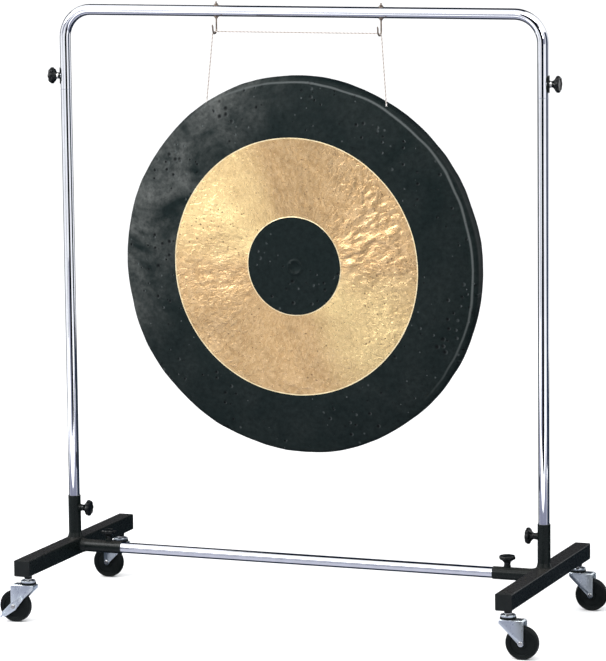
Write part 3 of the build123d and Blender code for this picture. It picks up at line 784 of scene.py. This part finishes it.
# -------------------- rope pieces
def make_rope():
    """The cord, and a stopper knot at each end of it inside the rim."""
    finishes = [cord_fibre, cord_tracer]
    mesh = rope_mesh("suspension_rope", rope_path, (0, 1, 0))
    rope = add_piece("suspension_rope", mesh, "cord", finishes, ["suspension_cord"])
    knots = bmesh.new()
    turn = np.linspace(0, 2 * math.pi, 90)
    wrap = 2.6 * MM + 0.95 * MM * np.cos(3 * turn)
    trefoil = np.stack([wrap * np.cos(2 * turn), wrap * np.sin(2 * turn), 1.35 * MM * np.sin(3 * turn)], 1)
    for end in (rope_path[0], rope_path[-1]):
        knots.from_mesh(rope_mesh("knot", trefoil + end, (0, 0, 1), radius=1.25 * MM, step=0.5 * MM))
        inward = -1 if end[0] > 0 else 1
        tail = [(0, 0, -2), (inward * 1.5, 0.8, -5), (inward * 3.5, 1.2, -8.5), (inward * 4.5, 2.5, -12)]
        line = np.array(tail) * MM + end
        knots.from_mesh(rope_mesh("tail", line, (0, 1, 0), radius=1.3 * MM, step=0.5 * MM))
    mesh = bpy.data.meshes.new("cord_knot_pair")
    knots.to_mesh(mesh)
    knots.free()
    pair = add_piece("cord_knot_pair", mesh, "cord", finishes, ["cord_knots"])


make_rope()


# -------------------- hooks
def make_hook(side):
    """A wire hook: rolled thread on the shank, a plain bend and a rounded tip."""
    name = f"{side_name(side)}_gong_hook"
    low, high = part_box(name)
    x = side * HOOK_X
    wire, bend = 2.0 * MM, 11.0 * MM
    thread_length, thread_pitch, thread_depth = 46 * MM, 0.7 * MM, 0.28 * MM
    centre_z = low.z + wire + bend
    shank = [(x, 0, z) for z in np.arange(high.z, centre_z, -0.12 * MM)]
    turns = np.linspace(0, math.pi, 40)
    arc = [(x, -bend + bend * math.cos(t), centre_z - bend * math.sin(t)) for t in turns]
    tip = [(x, -2 * bend - 3 * MM * s * s, centre_z + 10 * MM * s) for s in np.linspace(0.05, 1, 24)]
    points = np.array(shank + arc + tip)
    turn = full_turn(20)
    height = points[:, 2][:, None]
    threaded = (np.arange(len(points)) < len(shank))[:, None] & (height > high.z - thread_length)
    wave = np.abs(((height / thread_pitch - turn[None, :] / (2 * math.pi)) % 1) * 2 - 1)
    radius = np.where(threaded, wire - thread_depth * wave, wire * 0.965)
    for ends in (range(0, 6), range(-1, -13, -1)):
        for step, index in enumerate(ends):
            radius[index] *= math.sqrt(max(0.05, 1 - (1 - (step + 0.5) / len(ends)) ** 2))
    mesh = mesh_of(name, *tube(points, (0, 1, 0), radius))
    add_piece(f"{name}_wire", mesh, "upper_frame", [dark_steel], [name])


for hook_side in (-1, 1):
    make_hook(hook_side)


# -------------------- refined copies of CAD parts
def round_edges(piece, width, angle):
    """Rounds the edges that are sharper than an angle in degrees, by a width in millimetres."""
    bevel = piece.modifiers.new("round", "BEVEL")
    bevel.width = width * MM
    bevel.segments = 2
    bevel.limit_method = "ANGLE"
    bevel.angle_limit = math.radians(angle)
    bevel.harden_normals = True


def refine(node, body, material, width):
    """A copy of a CAD part with its sharp edges rounded by millimetres, which stands for it."""
    work = bmesh.new()
    work.from_mesh(nodes[node].data)
    bmesh.ops.remove_doubles(work, verts=work.verts, dist=0.00001)
    bmesh.ops.dissolve_limit(work, angle_limit=math.radians(0.6), verts=work.verts, edges=work.edges)
    bmesh.ops.recalc_face_normals(work, faces=work.faces)
    mesh = bpy.data.meshes.new(f"{node}_shape")
    work.to_mesh(mesh)
    work.free()
    round_edges(add_piece(f"{node}_shape", mesh, body, [material], [node]), width, 32.0)


CLAMPS = ("left_base", "right_base", "left_crossbar", "right_crossbar", "left_upper", "right_upper")
CASTERS = ("front_left", "back_left", "front_right", "back_right")
KNOB_PROFILE = (  # height and radius, in millimetres
    (0.0, 6.9), (0.4, 7.4), (2.5, 7.2), (5.0, 7.4), (7.5, 8.5), (10.0, 10.9), (12.2, 14.2), (13.6, 16.9),
    (14.6, 18.2), (15.8, 18.9), (17.8, 19.0), (19.8, 18.8), (21.3, 18.0), (22.3, 16.7), (22.8, 15.2),
    (22.9, 13.6), (22.5, 12.3), (21.6, 11.3), (21.0, 10.4), (20.8, 8.0), (20.8, 4.0), (20.8, 0.5),
)
KNOB_LOBES = 8
KNOB_WASHER = 3.4  # an upper knob is bright steel up to here
SWIVEL_RING_PROFILE = (  # radius and height, in millimetres
    (14.7, 89.05), (17.6, 89.05), (18.3, 89.7), (18.4, 92.6),
    (18.0, 93.8), (17.5, 93.9), (17.4, 91.85), (14.7, 91.85),
)


def make_knob(clamp):
    """A moulded lobed knob: a short neck, a flared back, scalloped edge and a dished top."""
    node = f"{clamp}_knob"
    low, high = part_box(node)
    axis = Vector(joints[f"{clamp}_screw_travel"]["axis"])
    middle = (low + high) / 2
    length = abs((high - low).dot(axis))
    start = middle - axis * (length / 2)
    first = Vector((0, 1, 0)) if abs(axis.x) > 0.5 else Vector((1, 0, 0))
    second = axis.cross(first)
    sides, notch_depth, sharpness = 144, 2.1, 1.7
    coarse = np.array(KNOB_PROFILE)
    fine = np.linspace(0, len(coarse) - 1, 3 * len(coarse) - 2)
    rows = np.stack([np.interp(fine, np.arange(len(coarse)), coarse[:, k]) for k in (0, 1)], 1)
    points, kinds = [], []
    for height, radius in rows:
        depth = notch_depth * float(smooth_step(radius, 9.5, 18.0))
        for j in range(sides):
            t = 2 * math.pi * j / sides
            notch = (0.5 - 0.5 * math.cos(KNOB_LOBES * t)) ** sharpness
            r = (radius - depth * notch) * MM
            points.append(start + axis * (height * MM) + (first * math.cos(t) + second * math.sin(t)) * r)
        kinds += [int("upper" in clamp and height < KNOB_WASHER)] * sides
    kinds = kinds[:-sides] + [kinds[0], 0]
    mesh = mesh_of(f"{clamp}_knob_shape", points, ring_faces(len(rows), sides))
    mesh.polygons.foreach_set("material_index", kinds)
    add_piece(f"{clamp}_knob_shape", mesh, node, [knob_plastic, bright_steel], [node])


def make_swivel_ring(caster):
    """A black ring between a caster's race and its fork, where the swivel shows a dark line."""
    centre = joints[f"{caster}_swivel"]["pos_m"]
    sides, count = 96, len(SWIVEL_RING_PROFILE)
    points = []
    for i in range(sides):
        t = 2 * math.pi * i / sides
        for radius, height in SWIVEL_RING_PROFILE:
            x, y = centre[0] + radius * MM * math.cos(t), centre[1] + radius * MM * math.sin(t)
            points.append((x, y, height * MM))
    faces = [(a, d, c, b) for a, b, c, d in ring_faces(sides, count, looped=True)]
    name = f"{caster}_swivel_dark_ring"
    add_piece(name, mesh_of(name, points, faces), f"{caster}_caster", [wheel_rubber])


def make_clamp_plate(side):
    """The black plate that hugs the tube under an upper clamp nut."""
    low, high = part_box("upper_clamp_nuts")
    nut_reach = 16.7 * MM
    tube_radius, thick, half_height, end, half_spread = 12.72, 2.1, 19.0, 6.0, 38.0
    centre = Vector((side * (high.x - nut_reach), 0, (low.z + high.z) / 2))
    rows, columns = 25, 17
    points = []
    for radius in (tube_radius + thick, tube_radius):
        for v in np.linspace(-half_height, half_height, rows):
            inset = max(0.0, (abs(v) - half_height + end) / end)
            spread = half_spread * (0.5 + 0.5 * math.sqrt(max(0.0, 1 - inset * inset)))
            for angle in np.radians(np.linspace(-spread, spread, columns)):
                reach = Vector((side * math.cos(angle), math.sin(angle), 0)) * (radius * MM)
                points.append(centre + reach + Vector((0, 0, v * MM)))
    layer = rows * columns
    faces = []
    for i in range(rows - 1):
        for j in range(columns - 1):
            a = i * columns + j
            quad = (a, a + 1, a + columns + 1, a + columns)
            faces += [quad, tuple(layer + k for k in reversed(quad))]
    border = list(range(columns))
    border += [i * columns + columns - 1 for i in range(1, rows)]
    border += [(rows - 1) * columns + j for j in range(columns - 2, -1, -1)]
    border += [i * columns for i in range(rows - 2, 0, -1)]
    for a, b in zip(border, border[1:] + border[:1]):
        faces.append((b, a, layer + a, layer + b))
    name = f"{side_name(side)}_upper_clamp_plate"
    mesh = mesh_of(name, points, faces)
    turn_outwards(mesh)
    round_edges(add_piece(name, mesh, "upper_frame", [powder_coat]), 0.5, 30.0)


for clamp in CLAMPS:
    make_knob(clamp)
for caster in CASTERS:
    refine(f"{caster}_fork", f"{caster}_caster", caster_chrome, 0.7)
    refine(f"{caster}_axle_nut", f"{caster}_caster", bright_steel, 0.5)
for caster in CASTERS:
    make_swivel_ring(caster)
refine("brake_lever", "brake_lever", caster_chrome, 0.5)
refine("hook_nuts", "upper_frame", dark_steel, 0.35)
refine("hook_washers", "upper_frame", dark_steel, 0.25)
refine("upper_clamp_nuts", "upper_frame", powder_coat, 0.6)
for side in (-1, 1):
    make_clamp_plate(side)
refine("base_clamp_nuts", "base", powder_coat, 0.6)
refine("caster_stem_sockets", "base", powder_coat, 0.6)
refine("caster_top_races", "base", caster_chrome, 0.6)
refine("caster_stems", "base", bright_steel, 0.4)


# -------------------- weld beads
def bead_ring(points, radius, seed):
    """A closed bead of rippled weld along a loop of points."""
    loop = np.array(points)
    count = len(loop)
    sides = 8
    tangent = np.roll(loop, -1, axis=0) - np.roll(loop, 1, axis=0)
    tangent /= np.linalg.norm(tangent, axis=1)[:, None]
    centre = loop.mean(axis=0)
    out = loop - centre
    out -= tangent * np.sum(out * tangent, axis=1)[:, None]
    out /= np.linalg.norm(out, axis=1)[:, None]
    up = np.cross(tangent, out)
    rng = np.random.default_rng(seed)
    ripple = 1 + 0.16 * np.sin(np.arange(count) * 2 * math.pi / 5) + 0.06 * rng.standard_normal(count)
    radii = np.repeat((radius * ripple)[:, None], sides, axis=1)
    return ring_points(loop, out, up, radii), ring_faces(count, sides, looped=True)


def circle_points(centre, axis, radius, count):
    """A circle's points, round an axis."""
    axis = Vector(axis)
    first = axis.orthogonal().normalized()
    second = axis.cross(first)
    return [Vector(centre) + (first * math.cos(t) + second * math.sin(t)) * radius for t in full_turn(count)]


def saddle_points(centre, out, along, tube, radius, count):
    """Where a round boss meets a round tube, as a loop of points."""
    out, along = Vector(out), Vector(along)
    across = out.cross(along)
    found = []
    for t in full_turn(count):
        sideways = radius * math.cos(t)
        rise = math.sqrt(tube * tube - sideways * sideways)
        found.append(Vector(centre) + across * sideways + along * (radius * math.sin(t)) + out * rise)
    return found


def make_welds():
    """Beads round the sockets' feet, the clamp nuts and the caster sockets."""
    upright_x, beam_top, upright_clamp_z, upper_clamp_z = 0.58, 0.1512, 0.222, 1.242
    crossbar_z, crossbar_end, crossbar_clamp_x = 0.132, 0.5608, 0.493
    caster_y, caster_z = 0.263, 0.1128
    socket, frame_tube = 0.0148, 0.0128
    base, frame_loops = [], []
    for side in (-1, 1):
        x, up, along = side * upright_x, (0, 0, 1), (1, 0, 0)
        base.append((circle_points((x, 0, beam_top), up, 0.0172, 96), 1.1 * MM))
        base.append((circle_points((side * crossbar_end, 0, crossbar_z), along, 0.0172, 96), 1.0 * MM))
        for y in (-caster_y, caster_y):
            base.append((circle_points((x, y, caster_z), up, 0.0094, 60), 0.9 * MM))
        base.append((saddle_points((x, 0, upright_clamp_z), (-side, 0, 0), up, socket, 0.0083, 56), 0.8 * MM))
        centre = (side * crossbar_clamp_x, 0, crossbar_z)
        base.append((saddle_points(centre, up, along, socket, 0.0083, 56), 0.8 * MM))
        centre = (x, 0, upper_clamp_z)
        frame_loops.append((saddle_points(centre, (side, 0, 0), up, frame_tube, 0.0082, 56), 0.55 * MM))
    for body, loops, material, slot in (
        ("base", base, powder_coat, "black_frame"),
        ("upper_frame", frame_loops, chrome_level, "chrome_tube"),
    ):
        beads = [bead_ring(loop, radius, 100 + number) for number, (loop, radius) in enumerate(loops)]
        name = f"{body}_weld_beads"
        add_piece(name, mesh_of(name, *joined(beads)), body, [material])


make_welds()


# -------------------- finishes of the CAD parts that stay
def paint_nodes(material, names):
    """Gives CAD parts their finish."""
    for name in names:
        mesh = nodes[name].data
        mesh.materials.clear()
        mesh.materials.append(material)


paint_nodes(chrome_upright, ["left_lower_upright", "right_lower_upright", "upper_frame_tube"])
paint_nodes(chrome_level, ["crossbar"])
for part in ("foot_beam", "upright_socket", "crossbar_socket"):
    paint_nodes(powder_coat, [f"left_{part}", f"right_{part}"])
paint_nodes(cap_plastic, ["foot_end_caps"])
paint_nodes(bright_steel, [f"{clamp}_screw" for clamp in CLAMPS])
paint_nodes(bright_steel, ["left_spigot", "right_spigot", "caster_bearing_balls"])
paint_nodes(bright_steel, [f"{caster}_{part}" for caster in CASTERS for part in ("axle", "bush")])
paint_nodes(wheel_rubber, [f"{caster}_wheel" for caster in CASTERS])


# -------------------- studio
LIGHT_AIM = Vector((0, 0, 0.8))
CARD_GAP = 0.012


def make_floor():
    """A plain pale floor."""
    f = Finish("floor", roughness=0.75, specular=0.2)
    cloud = f.noise(1.3, 3.0, 0.5)
    f.use(Base_Color=f.ramp(cloud, (0.3, (0.86, 0.865, 0.875)), (0.7, (0.88, 0.885, 0.89))))
    reach = 45.0
    corners = [(-reach, -reach, 0), (reach, -reach, 0), (reach, reach, 0), (-reach, reach, 0)]
    mesh = mesh_of("floor", corners, [(0, 1, 2, 3)])
    mesh.materials.append(f.material)
    linked("floor", mesh)


def make_world():
    """A pale studio all round, with soft darker stretches that give the chrome its lines."""
    world = bpy.data.worlds.new("studio")
    bpy.context.scene.world = world
    world.use_nodes = True
    w = Nodes(world.node_tree)
    across, depth, height = w.parts(w.node("ShaderNodeTexCoord").outputs["Generated"])
    heading = w.math("ARCTAN2", across, w.times(depth, -1.0))
    white, side, dim = (1.15, 1.15, 1.15), (0.80, 0.82, 0.88), (0.36, 0.37, 0.45)
    turns = (-180, -130, -65, -48, 58, 75, 130, 179.9)
    colours = (side, white, white, dim, dim, white, white, side)
    stops = [((turn + 180) / 360, colour) for turn, colour in zip(turns, colours)]
    sides = w.ramp(w.span(heading, -math.pi, math.pi), *stops)
    sky = w.mix(w.span(height, 0.14, 0.38), sides, (1.3, 1.3, 1.3))
    background = w.tree.nodes["Background"]
    w.feed(background.inputs["Color"], sky)
    background.inputs["Strength"].default_value = 1.0


def make_card(name, corners, colour):
    """An evenly lit studio card that only mirrors see."""
    material = bpy.data.materials.new(name)
    material.use_nodes = True
    tree = material.node_tree
    tree.nodes.remove(tree.nodes["Principled BSDF"])
    glow = tree.nodes.new("ShaderNodeEmission")
    glow.inputs["Color"].default_value = (*colour, 1.0)
    tree.links.new(glow.outputs[0], tree.nodes["Material Output"].inputs["Surface"])
    mesh = mesh_of(name, corners, [(0, 1, 2, 3)])
    mesh.materials.append(material)
    card = linked(name, mesh)
    for rays in ("camera", "diffuse", "shadow", "transmission"):
        setattr(card, f"visible_{rays}", False)


def floor_card(name, first, second, colour):
    """A card just over the floor between two lines, each given as y, lowest x and highest x."""
    (y, low, high), (other_y, other_low, other_high) = first, second
    corners = [(low, y), (high, y), (other_high, other_y), (other_low, other_y)]
    make_card(name, [(*corner, CARD_GAP) for corner in corners], colour)


def upright_card(name, foot, turn, width, top, colour):
    """A card standing at foot, turned about Z."""
    along = Vector((math.cos(math.radians(turn)), math.sin(math.radians(turn)), 0)) * (width / 2)
    base = Vector((*foot, 0))
    corners = [base - along, base + along, base + along, base - along]
    heights = (CARD_GAP, CARD_GAP, top, top)
    make_card(name, [c + Vector((0, 0, h)) for c, h in zip(corners, heights)], colour)


def make_light(name, place, size, power):
    """A soft light at a place, turned to the middle of the gong."""
    data = bpy.data.lights.new(name, "AREA")
    data.shape = "RECTANGLE"
    data.size, data.size_y = size
    data.energy = power
    light = linked(name, data)
    light.location = place
    light.rotation_euler = (LIGHT_AIM - Vector(place)).to_track_quat("-Z", "Y").to_euler()
    light.visible_camera = False


make_floor()
make_world()
make_light("upper_left_softbox", (-2.5, -1.7, 2.6), (1.6, 1.6), 85)
make_light("overhead_softbox", (0.7, -2.0, 3.6), (2.2, 1.4), 50)
make_light("front_softbox", (-1.5, -4.0, 2.6), (2.6, 1.0), 35)
make_light("right_softbox", (2.0, -3.2, 2.2), (1.2, 1.2), 45)
floor_card("front_floor_card", (-6.5, -1.7, 4.2), (-2.2, -1.1, 2.0), (0.33, 0.34, 0.42))
floor_card("near_floor_card", (-1.4, -3.2, 3.2), (-0.4, -2.4, 2.4), (0.30, 0.31, 0.40))
floor_card("bar_floor_card", (-0.4, -2.4, 2.4), (-0.03, -2.0, 2.0), (0.66, 0.67, 0.76))
floor_card("back_floor_card", (3.4, -4.2, 3.2), (-0.03, -2.4, 2.4), (0.03, 0.04, 0.06))
roof_corners = [(-3.5, 2.3, 9.0), (1.1, 2.3, 9.0), (1.1, 0.4, 9.6), (-3.5, 0.4, 9.6)]
make_card("roof_flag", roof_corners, (0.01, 0.015, 0.03))
upright_card("black_flag", (0.72, -2.0), 20, 1.6, 2.6, (0.002, 0.003, 0.006))
upright_card("left_flag", (-2.9, -3.6), -38, 0.55, 2.4, (0.05, 0.055, 0.075))
upright_card("blue_flag", (2.6, 0.7), 90, 2.2, 2.2, (0.045, 0.06, 0.10))
upright_card("back_flag", (-1.2, 2.3), 0, 4.6, 9.0, (0.01, 0.015, 0.03))
upright_card("left_back_flag", (-3.2, 1.4), 90, 1.8, 3.0, (0.02, 0.03, 0.05))
bpy.context.scene.view_settings.view_transform = "Standard"
